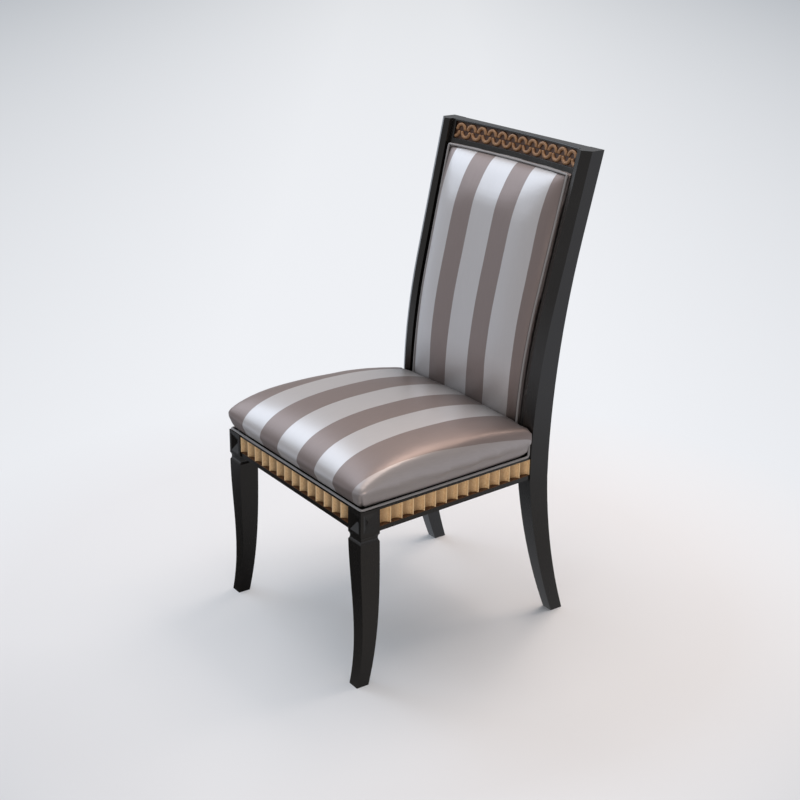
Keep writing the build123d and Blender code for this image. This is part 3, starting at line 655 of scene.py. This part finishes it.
def new_finish(name):
    """An empty material tree and its Object coordinates."""
    material = bpy.data.materials.new(name)
    material.use_nodes = True
    tree = material.node_tree
    tree.nodes.clear()
    return material, tree, tree.nodes.new("ShaderNodeTexCoord").outputs["Object"]


def maths(tree, operation, *values):
    """The result of one sum on numbers or sockets."""
    return node(tree, "Math", dict(enumerate(values)), operation=operation).outputs[0]


def mixed(tree, share, first, second):
    """The first colour where share is 0 and the second where it is 1."""
    return node(tree, "Mix", {0: share, 6: first, 7: second}, data_type="RGBA").outputs[2]


def stretched(tree, where, scale):
    """The same place, scaled along each axis."""
    return node(tree, "Mapping", {"Vector": where, "Scale": scale}).outputs[0]


def speckle(tree, where, scale, detail=3.0):
    """Smooth random patches between 0 and 1."""
    return node(tree, "TexNoise", {"Vector": where, "Scale": scale, "Detail": detail}).outputs[0]


def between(tree, value, low, high, to_low=0.0, to_high=1.0):
    """Moves a value from one range to another, and keeps it inside."""
    inputs = {"Value": value, "From Min": low, "From Max": high, "To Min": to_low, "To Max": to_high}
    return node(tree, "MapRange", inputs).outputs[0]


def finished(tree, inputs):
    """The surface shader and the output."""
    shader = node(tree, "BsdfPrincipled", inputs)
    node(tree, "OutputMaterial", {"Surface": shader.outputs[0]})


# %% [markdown]
# The cloth is a satin woven in stripes, silver and taupe, with crisp edges. The warp floats over the weft,
# so it shines, and fine threads run along each stripe. The stripes' edges were measured on the photograph.

# %% Striped satin


def striped_satin(name, edges, first_dark, pulled):
    """A ramp across x with a stop at each stripe's edge, fine threads along the stripe, a soft sheen and
    painted shade.
    """
    material, tree, where = new_finish(name)
    span = 0.32
    wander = speckle(tree, stretched(tree, where, (3, 14, 14)), 1.0, 1.0)
    x = node(tree, "SeparateXYZ", {0: where}).outputs[0]
    nudge = between(tree, wander, 0.3, 0.7, -0.0004, 0.0004)
    # Where the cloth is pulled over the side edges, the outer stripes lie further out.
    outer = between(tree, maths(tree, "ABSOLUTE", x), 0.19, 0.235, 0.0, pulled)
    high = between(tree, node(tree, "SeparateXYZ", {0: where}).outputs[2], 0.40, 0.465)
    pull = maths(tree, "MULTIPLY", outer, high)
    pull = maths(tree, "MULTIPLY", pull, maths(tree, "SIGN", x))
    nudge = maths(tree, "SUBTRACT", nudge, pull)
    x = maths(tree, "ADD", x, nudge)
    ramp = node(tree, "ValToRGB", {"Fac": between(tree, x, -span, span)})
    ramp.color_ramp.interpolation = "CONSTANT"
    shade = float(first_dark)
    ramp.color_ramp.elements[0].color = (shade, shade, shade, 1)
    for edge in edges:
        shade = 1.0 - shade
        stop = ramp.color_ramp.elements.new((edge / 1000.0 + span) / (2 * span))
        stop.color = (shade, shade, shade, 1)
    ramp.color_ramp.elements.remove(ramp.color_ramp.elements[-1])
    dark = ramp.outputs[0]
    thread = speckle(tree, stretched(tree, where, (1800, 40, 40)), 1.0, 2.0)
    silver = mixed(tree, thread, (0.56, 0.533, 0.53, 1), (0.63, 0.60, 0.595, 1))
    taupe = mixed(tree, thread, (0.25, 0.196, 0.182, 1), (0.305, 0.246, 0.229, 1))
    colour = mixed(tree, dark, silver, taupe)
    if pulled:
        # Painted shade: the stripe that turns down the sides is darkened, mixed part way towards taupe.
        painted_side_shade = between(tree, maths(tree, "ABSOLUTE", x), 0.2275, 0.2285, 0.0, 0.55)
        colour = mixed(tree, painted_side_shade, colour, taupe)
    # Painted shade: deep folds see little of the sky, so their colour is darkened towards near black.
    open_sky = node(tree, "AmbientOcclusion", {"Distance": 0.11}, samples=6).outputs["AO"]
    painted_fold_shade = between(tree, open_sky, 0.35, 0.92, 0.7, 0.0)
    colour = mixed(tree, painted_fold_shade, colour, (0.03, 0.025, 0.023, 1))
    weft = speckle(tree, stretched(tree, where, (300, 1500, 1500)), 1.0, 1.0)
    weave = maths(tree, "ADD", thread, weft)
    bump = node(tree, "Bump", {"Strength": 0.12, "Distance": 0.0003, "Height": weave})
    rough = between(tree, dark, 0, 1, 0.38, 0.44)
    inputs = {"Base Color": colour, "Roughness": rough, "Normal": bump.outputs[0]}
    inputs |= {"Sheen Weight": 0.1, "Sheen Roughness": 0.4, "Metallic": between(tree, dark, 0, 1, 0.52, 0.58)}
    finished(tree, inputs)
    return material


seat_edges = [-256.0, -194.6, -118.8, -46.0, 30.3, 97.7, 166.7, 228.0]
back_edges = [-170.2, -103.0, -43.2, 30.8, 92.1, 164.4]
seat_satin = striped_satin("seat_satin", seat_edges, False, 0.02)
back_satin = striped_satin("back_satin", back_edges, True, 0.0)
seat_cushion.data.materials.append(seat_satin)
back_cushion.data.materials.append(back_satin)
outside_back.data.materials.append(back_satin)
print("stripes:", len(seat_edges) + 1, "on the seat,", len(back_edges) + 1, "on the back")

# %% [markdown]
# The cord is covered in a narrow strip of the silver cloth, cut on the slant so that it bends round the
# corners. It is too thin to show stripes, so its finish is one tone with a fine thread.

# %% Silver cord


def cord_satin():
    """A darker silver than the stripes, with fine threads in its colour and its bump."""
    material, tree, where = new_finish("cord_satin")
    thread = speckle(tree, where, 1400.0, 2.0)
    colour = mixed(tree, thread, (0.25, 0.238, 0.236, 1), (0.33, 0.315, 0.312, 1))
    bump = node(tree, "Bump", {"Strength": 0.2, "Distance": 0.0003, "Height": thread})
    inputs = {"Base Color": colour, "Roughness": between(tree, thread, 0.3, 0.7, 0.42, 0.52)}
    finished(tree, inputs | {"Normal": bump.outputs[0], "Sheen Weight": 0.2, "Sheen Roughness": 0.4})
    return material


cord_cloth = cord_satin()
seat_cord.data.materials.append(cord_cloth)
back_cord.data.materials.append(cord_cloth)
print("cord finish:", cord_cloth.name)

# %% [markdown]
# The frame is wood under many coats of black lacquer, rubbed to a satin. It hides the grain almost fully,
# so only a slow unevenness of the gloss and a little softness in its reflections are left.

# %% Black lacquer


def black_lacquer():
    """Near black: slow patches in its roughness, a faint wave in its surface and a warm tint in its gloss."""
    material, tree, where = new_finish("black_lacquer")
    cloud = speckle(tree, where, 14.0, 4.0)
    rub = speckle(tree, stretched(tree, where, (260, 260, 30)), 1.0, 3.0)
    colour = mixed(tree, cloud, (0.005, 0.0042, 0.0038, 1), (0.008, 0.0066, 0.006, 1))
    rough = between(tree, maths(tree, "ADD", cloud, rub), 0.6, 1.4, 0.18, 0.30)
    wave = speckle(tree, where, 55.0, 2.0)
    bump = node(tree, "Bump", {"Strength": 0.05, "Distance": 0.001, "Height": wave})
    inputs = {"Base Color": colour, "Roughness": rough, "Normal": bump.outputs[0]}
    finished(tree, inputs | {"Specular IOR Level": 0.72, "Specular Tint": (1.0, 0.93, 0.87, 1)})
    return material


# %% [markdown]
# The flutes and the carving are gilded over a red-brown ground. The gold at the face is painted paler, as a
# painted highlight, and the hollows are brown, for patina and painted shade. How deep a point lies is its
# distance behind the strip's face, so each strip is told which way it faces.

# %% Aged gilding


def aged_gilding(name, facing, face_at, depth, tone, foot):
    """Gold by depth: painted highlight at the face, patina and painted shade deep down and on shelves; rubbed
    patches.
    """
    material, tree, where = new_finish(name)
    toward = node(tree, "VectorMath", {0: where, 1: facing}, operation="DOT_PRODUCT").outputs["Value"]
    deep = between(tree, toward, face_at, face_at - depth)
    patch = between(tree, speckle(tree, where, 320.0, 4.0), 0.35, 0.7)
    gold = mixed(tree, patch, tone, (tone[0] * 0.82, tone[1] * 0.74, tone[2] * 0.66, 1))
    # Painted highlight: the gold at the face is made paler.
    painted_highlight_gold = (tone[0] * 1.1, tone[1] * 1.15, tone[2] * 1.25, 1)
    gold = mixed(tree, between(tree, deep, 0.0, 0.2), painted_highlight_gold, gold)
    # Towards the bottom the gold turns brown: patina and painted shade.
    gold = mixed(tree, between(tree, deep, 0.45, 1.0, 0.0, 0.7), gold, (0.16, 0.075, 0.03, 1))
    # Shelves that face up deep in the flutes, and the lip below the foot, turn near black: patina and painted
    # shade.
    normal = tree.nodes.new("ShaderNodeNewGeometry").outputs["Normal"]
    looks_up = between(tree, node(tree, "SeparateXYZ", {0: normal}).outputs[2], 0.6, 0.9)
    shelf_patina_and_shade = maths(tree, "MULTIPLY", looks_up, between(tree, deep, 0.02, 0.06))
    z = node(tree, "SeparateXYZ", {0: where}).outputs[2]
    shelf_patina_and_shade = maths(tree, "MAXIMUM", shelf_patina_and_shade, between(tree, z, foot, foot - 0.0005))
    colour = mixed(tree, shelf_patina_and_shade, gold, (0.085, 0.034, 0.012, 1))
    grit = speckle(tree, where, 500.0, 3.0)
    bump = node(tree, "Bump", {"Strength": 0.15, "Distance": 0.0006, "Height": grit})
    rough = between(tree, patch, 0, 1, 0.38, 0.55)
    finished(tree, {"Base Color": colour, "Roughness": rough, "Normal": bump.outputs[0], "Metallic": 0.25})
    return material


# %% [markdown]
# Behind the carving lies a thin board, stained dark so that the gilding stands out. Its grain runs along
# the crest, so the noise is stretched that way.

# %% Dark ground of the carving


def stained_ground():
    """Dark brown wood with fine grain along the crest."""
    material, tree, where = new_finish("stained_ground")
    grain = speckle(tree, stretched(tree, where, (30, 400, 400)), 1.0, 4.0)
    colour = mixed(tree, grain, (0.045, 0.016, 0.006, 1), (0.085, 0.032, 0.012, 1))
    bump = node(tree, "Bump", {"Strength": 0.1, "Distance": 0.0005, "Height": grain})
    rough = between(tree, grain, 0.3, 0.7, 0.45, 0.6)
    finished(tree, {"Base Color": colour, "Roughness": rough, "Normal": bump.outputs[0]})
    return material


# %% [markdown]
# Inside the seat frame the wood is bare, and the screws are plain steel. They show only from below.

# %% Bare wood and steel


def bare_wood():
    """Pale wood: long streaks and slow bands."""
    material, tree, where = new_finish("bare_wood")
    streak = speckle(tree, stretched(tree, where, (25, 260, 260)), 1.0, 5.0)
    band = speckle(tree, stretched(tree, where, (3, 22, 22)), 1.0, 2.0)
    colour = mixed(tree, streak, (0.40, 0.255, 0.14, 1), (0.56, 0.385, 0.225, 1))
    colour = mixed(tree, between(tree, band, 0.35, 0.65, 0.0, 0.5), colour, (0.45, 0.29, 0.16, 1))
    bump = node(tree, "Bump", {"Strength": 0.12, "Distance": 0.0006, "Height": streak})
    rough = between(tree, streak, 0.3, 0.7, 0.5, 0.65)
    finished(tree, {"Base Color": colour, "Roughness": rough, "Normal": bump.outputs[0]})
    return material


def plain_steel():
    """Grey metal with fine scratches."""
    material, tree, where = new_finish("plain_steel")
    scratch = speckle(tree, stretched(tree, where, (900, 900, 120)), 1.0, 3.0)
    colour = mixed(tree, scratch, (0.46, 0.46, 0.47, 1), (0.60, 0.60, 0.61, 1))
    rough = between(tree, scratch, 0.3, 0.7, 0.3, 0.45)
    finished(tree, {"Base Color": colour, "Roughness": rough, "Metallic": 1.0})
    return material


# %% Give every solid its finish
leg_block = 45.0
rail_length = seat_depth - leg_block
rail_run = np.array([-rail_taper, rail_length]) / np.hypot(rail_taper, rail_length)
side_facing = (float(rail_run[1]), float(-rail_run[0]), 0.0)
side_start = place([(rail_half - rail_setback, leg_block, 0.0)])[0]
side_at = float(side_start @ side_facing)
front_at = -float(place([(0.0, rail_setback, 0.0)])[0][1])
crest_facing = (0.0, -float(np.cos(lean)), float(np.sin(lean)))
crest_spot = place([on_back(0.0, ground_face - 4.0, band_middle)])[0]
left_facing = (-side_facing[0], side_facing[1], 0.0)
flute_gold = (1.0, 0.70, 0.38, 1)
carved_gold = (0.30, 0.15, 0.065, 1)
flute_depth, flute_foot = 0.012, 0.3522
strips = [("front", (0.0, -1.0, 0.0), front_at)]
strips += [("right", side_facing, side_at), ("left", left_facing, side_at)]
own_finish = {
    f"{side}_flute_strip": aged_gilding(f"{side}_gilding", facing, at, flute_depth, flute_gold, flute_foot)
    for side, facing, at in strips
}
finishes = {"lacquer": black_lacquer(), "carving_ground": stained_ground()}
finishes |= {"plain_wood": bare_wood(), "steel": plain_steel()}
# The back's board is stained dark as painted shade, because its edges show in the shadow gap beside the cord.
own_finish["back_panel"] = finishes["carving_ground"]
# The seat board is blackened as painted shade, because its edge shows above the cord where a shadow line
# lies.
own_finish["seat_board"] = finishes["lacquer"]
# The rail below the back is lacquered, because it shows from behind.
own_finish["lower_back_rail"] = finishes["lacquer"]
slots = {part["node"]: part["material_slot"] for part in frame["record"]["subparts"]}
for name, solid in frame["nodes"].items():
    finish = own_finish.get(name) or finishes.get(slots[name])
    if finish:
        solid.data.materials.clear()
        solid.data.materials.append(finish)
crest.data.materials.append(finishes["lacquer"])
crest_at = float(crest_spot @ crest_facing)
crest_gilding = aged_gilding("crest_gilding", crest_facing, crest_at, 0.009, carved_gold, 0.0)
carved_band.data.materials.append(crest_gilding)
print("finishes:", len(bpy.data.materials))

# %% [markdown]
# Lacquer never keeps a knife edge: the maker eases every edge with paper before the first coat. Here the
# edges of the lacquered solids are joined and rounded by about a millimetre, so that they catch a thin line
# of light.

# %% Ease the lacquered edges
for name, solid in frame["nodes"].items():
    if slots[name] == "lacquer" and name != "crest_rail":
        joined = solid.modifiers.new("joined", "WELD")
        joined.merge_threshold = 0.00002
        eased_edge = solid.modifiers.new("eased", "BEVEL")
        eased_edge.width = 0.0012
        eased_edge.segments = 2
        eased_edge.limit_method = "ANGLE"
        eased_edge.angle_limit = np.radians(28)
        solid.modifiers.new("even", "WEIGHTED_NORMAL").keep_sharp = True
crest.modifiers.new("even", "WEIGHTED_NORMAL").keep_sharp = True
print("eased:", sum(len(solid.modifiers) > 0 for solid in frame["nodes"].values()), "solids")

# %% [markdown]
# The chair stands in a pale studio. The floor is so large that its far edge lies above the photograph's
# frame, though a lower view shows it. Close to the chair it is mostly a plain pale surface that takes
# shadows, and on the camera's left a share of painted glow lightens them. Further out the camera sees the
# floor's painted glow, which darkens far away, to the sides and at the near corners. Reflections see a
# painted tone with two dark patches painted in front and beside the chair, standing in for the dark cards
# that photographers use to keep black lacquer black.

# %% The floor
size = 60.0
corners = [(-size, -size, 0), (size, -size, 0), (size, size, 0), (-size, size, 0)]
studio_floor = make_piece("studio_floor", np.array(corners, float), [(0, 1, 2, 3)])
view_turn = np.radians(54.6316)
# Each painted dark patch, seen only in reflections, has a place, a radius where it starts to fade, one where
# it ends, and a grey.
painted_dark_patches = [((-0.1, -1.1, 0.0), 0.8, 1.5, 0.05), ((0.8, 0.1, 0.0), 0.4, 1.0, 0.3)]


def pale_floor():
    """Pale diffuse floor near the chair, with painted glow on its left; further out a painted glow fading
    sideways and far.
    """
    material, tree, where = new_finish("pale_floor")
    distance = node(tree, "VectorMath", {0: where}, operation="LENGTH").outputs["Value"]
    sideways = (float(np.cos(view_turn)), float(np.sin(view_turn)), 0.0)
    aside = node(tree, "VectorMath", {0: where, 1: sideways}, operation="DOT_PRODUCT").outputs["Value"]
    # Painted light: on the camera's left the near floor takes a share of glow, which lightens its shadows.
    painted_glow_share = between(tree, aside, -0.3, 0.15, 0.34, 0.03)
    aside = maths(tree, "ABSOLUTE", aside)
    # Painted shade: the glow darkens far away and to the sides.
    tone = mixed(tree, between(tree, distance, 1.5, 16.0), (0.87, 0.885, 0.92, 1), (0.76, 0.775, 0.80, 1))
    tone = mixed(tree, between(tree, aside, 0.6, 5.0), tone, (0.50, 0.525, 0.56, 1))
    ahead = (float(np.sin(view_turn)), -float(np.cos(view_turn)), 0.0)
    ahead = node(tree, "VectorMath", {0: where, 1: ahead}, operation="DOT_PRODUCT").outputs["Value"]
    # Painted shade: the glow is darker at the near corners, in front of the chair and off to each side.
    near = maths(tree, "MULTIPLY", between(tree, aside, 0.35, 0.9), between(tree, ahead, 0.2, 0.8))
    tone = mixed(tree, near, tone, (0.55, 0.57, 0.61, 1))
    rays = tree.nodes.new("ShaderNodeLightPath")
    # Painted reflection: glossy rays see this tone, with the dark patches painted in.
    painted_reflection = (0.58, 0.63, 0.71, 1)
    for spot, inner, outer, grey in painted_dark_patches:
        away = node(tree, "VectorMath", {0: where, 1: spot}, operation="DISTANCE").outputs["Value"]
        painted_reflection = mixed(tree, between(tree, away, inner, outer), (grey, grey, grey, 1), painted_reflection)
    tone = mixed(tree, rays.outputs["Is Glossy Ray"], tone, painted_reflection)
    diffuse = node(tree, "BsdfDiffuse", {"Color": (0.72, 0.735, 0.76, 1)})
    glow = node(tree, "Emission", {"Color": tone, "Strength": 1.0})
    far = between(tree, distance, 0.7, 1.3)
    far = maths(tree, "MAXIMUM", far, painted_glow_share)
    far = maths(tree, "MULTIPLY", far, rays.outputs["Is Camera Ray"])
    share = maths(tree, "MAXIMUM", far, rays.outputs["Is Glossy Ray"])
    surface = node(tree, "MixShader", {0: share, 1: diffuse.outputs[0], 2: glow.outputs[0]})
    node(tree, "OutputMaterial", {"Surface": surface.outputs[0]})
    return material


studio_floor.data.materials.append(pale_floor())
print("floor reaches", size, "m each way")

# %% [markdown]
# The light is plain and soft: a pale sky all round, one large panel overhead and a cool one at the left. A
# warm one high behind draws the bright line along the seat's right edge, and a weak warm one low at the
# right draws the paler line along the edge of the back.

# %% Lights and sky


def light_panel(name, at, aim, width, watts, colour):
    """A square panel of light whose face is turned to the aim."""
    lamp = bpy.data.lights.new(name, "AREA")
    lamp.size = width
    lamp.energy = watts
    lamp.color = colour
    panel = bpy.data.objects.new(name, lamp)
    back = np.array(at, float) - np.array(aim, float)
    back /= np.linalg.norm(back)
    right = np.cross([0.0, 1.0, 0.0] if abs(back[2]) > 0.95 else [0.0, 0.0, 1.0], back)
    right /= np.linalg.norm(right)
    columns = np.stack([right, np.cross(back, right), back, np.array(at, float)], axis=1)
    panel.matrix_world = Matrix(np.vstack([columns, [0, 0, 0, 1]]).tolist())
    bpy.context.collection.objects.link(panel)


light_panel("overhead", (0.0, -0.1, 3.4), (0.0, 0.0, 0.4), 3.0, 48.0, (1.0, 0.92, 0.87))
light_panel("cool_left", (-2.8, -0.9, 2.6), (0.0, 0.0, 0.5), 2.2, 36.0, (0.74, 0.86, 1.0))
light_panel("warm_behind", (-0.2, 1.8, 2.9), (0.0, 0.0, 0.5), 2.1, 60.0, (1.0, 0.84, 0.73))
light_panel("warm_right", (2.7, -0.6, 0.75), (0.0, 0.0, 0.6), 1.2, 11.0, (1.0, 0.86, 0.74))
sky = bpy.data.worlds.new("sky")
sky.use_nodes = True
sky.node_tree.nodes["Background"].inputs["Color"].default_value = (0.89, 0.94, 1.0, 1)
sky.node_tree.nodes["Background"].inputs["Strength"].default_value = 0.36
bpy.context.scene.world = sky
bpy.context.scene.view_settings.view_transform = "Standard"
print("lights:", len(bpy.data.lights))

# %% [markdown]
# The camera stands where the photograph was taken from: to the right and in front, well above the seat. Its
# place and lens were found by fitting the chair's feet, rails and back.

# %% The camera
turn, tilt, roll = view_turn, *np.radians([20.7802, 0.6746])
back = np.array([np.sin(turn) * np.cos(tilt), -np.cos(turn) * np.cos(tilt), np.sin(tilt)])
right = np.array([np.cos(turn), np.sin(turn), 0.0])
up = np.cross(back, right)
rolled_right = right * np.cos(roll) + up * np.sin(roll)
rolled_up = up * np.cos(roll) - right * np.sin(roll)
stand = place([(2328.54, -1377.28, 1569.06)])[0]
lens = bpy.data.cameras.new("camera")
focal_pixels, sensor_width, picture_pixels = 1420.0, 36.0, 800.0
lens.lens = focal_pixels * sensor_width / picture_pixels
lens.clip_end = 200.0
camera = bpy.data.objects.new("camera", lens)
columns = np.stack([rolled_right, rolled_up, back, stand], axis=1)
camera.matrix_world = Matrix(np.vstack([columns, [0, 0, 0, 1]]).tolist())
bpy.context.collection.objects.link(camera)
bpy.context.scene.camera = camera
print("camera at", np.round(stand, 3).tolist())
